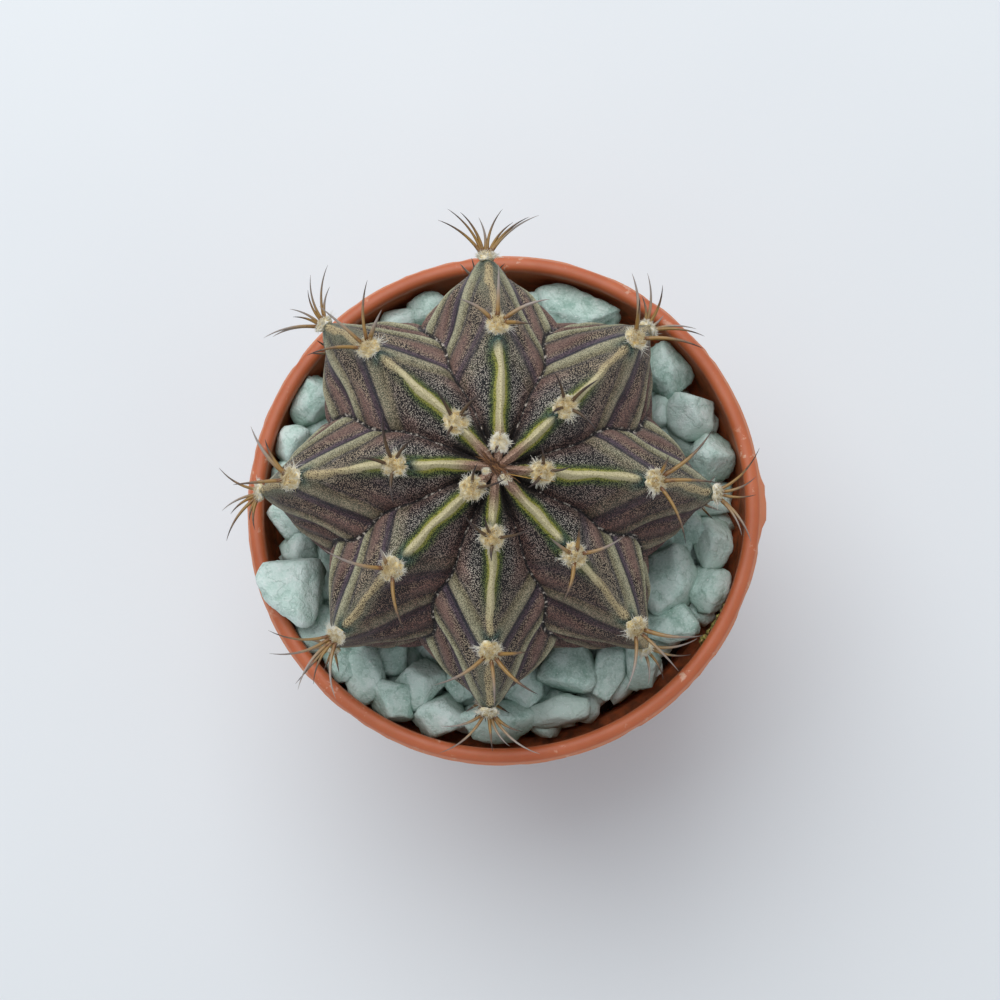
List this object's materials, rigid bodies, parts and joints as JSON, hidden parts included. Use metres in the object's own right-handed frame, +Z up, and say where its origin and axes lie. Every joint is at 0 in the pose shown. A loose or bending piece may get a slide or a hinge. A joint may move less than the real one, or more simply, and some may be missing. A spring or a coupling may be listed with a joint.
{
  "type": "potted round cactus",
  "caption": "Small flattened globe cactus with sharp spined ribs, growing in a round plastic nursery pot that is top-dressed with pale gravel.",
  "frame": {"origin": "centre of the pot's flat underside", "axes": "+Z up; the picture looks down on the plant with +X to its right and +Y to its top"},
  "size_m": [0.0578, 0.0561, 0.0713],
  "materials": {
    "pot_plastic": "semi-matt moulded terracotta-coloured plastic with pale scuffs on the lip",
    "soil": "matt crumbly potting soil",
    "gravel": "matt dusty pale mint-green gravel",
    "plant_skin": "waxy finely speckled purple-brown skin with pale green pleats and cream rib crests",
    "wool_and_spines": "cream felted wool with smooth ochre to brown spines"
  },
  "bodies": {
    "root": {"pot": "pot_plastic", "soil": "soil", "gravel": "gravel", "cactus_body": "plant_skin", "areole_00": "wool_and_spines", "areole_01": "wool_and_spines", "areole_02": "wool_and_spines", "areole_03": "wool_and_spines", "areole_04": "wool_and_spines", "areole_05": "wool_and_spines", "areole_06": "wool_and_spines", "areole_07": "wool_and_spines", "areole_08": "wool_and_spines", "areole_09": "wool_and_spines", "areole_10": "wool_and_spines", "areole_11": "wool_and_spines", "areole_12": "wool_and_spines", "areole_13": "wool_and_spines", "areole_14": "wool_and_spines", "areole_15": "wool_and_spines", "areole_16": "wool_and_spines", "areole_17": "wool_and_spines", "areole_18": "wool_and_spines", "areole_19": "wool_and_spines", "areole_20": "wool_and_spines", "areole_21": "wool_and_spines", "areole_22": "wool_and_spines", "areole_23": "wool_and_spines", "areole_24": "wool_and_spines", "areole_25": "wool_and_spines", "areole_26": "wool_and_spines", "areole_27": "wool_and_spines", "areole_28": "wool_and_spines", "areole_29": "wool_and_spines", "areole_30": "wool_and_spines", "areole_31": "wool_and_spines"}
  },
  "joints": []
}
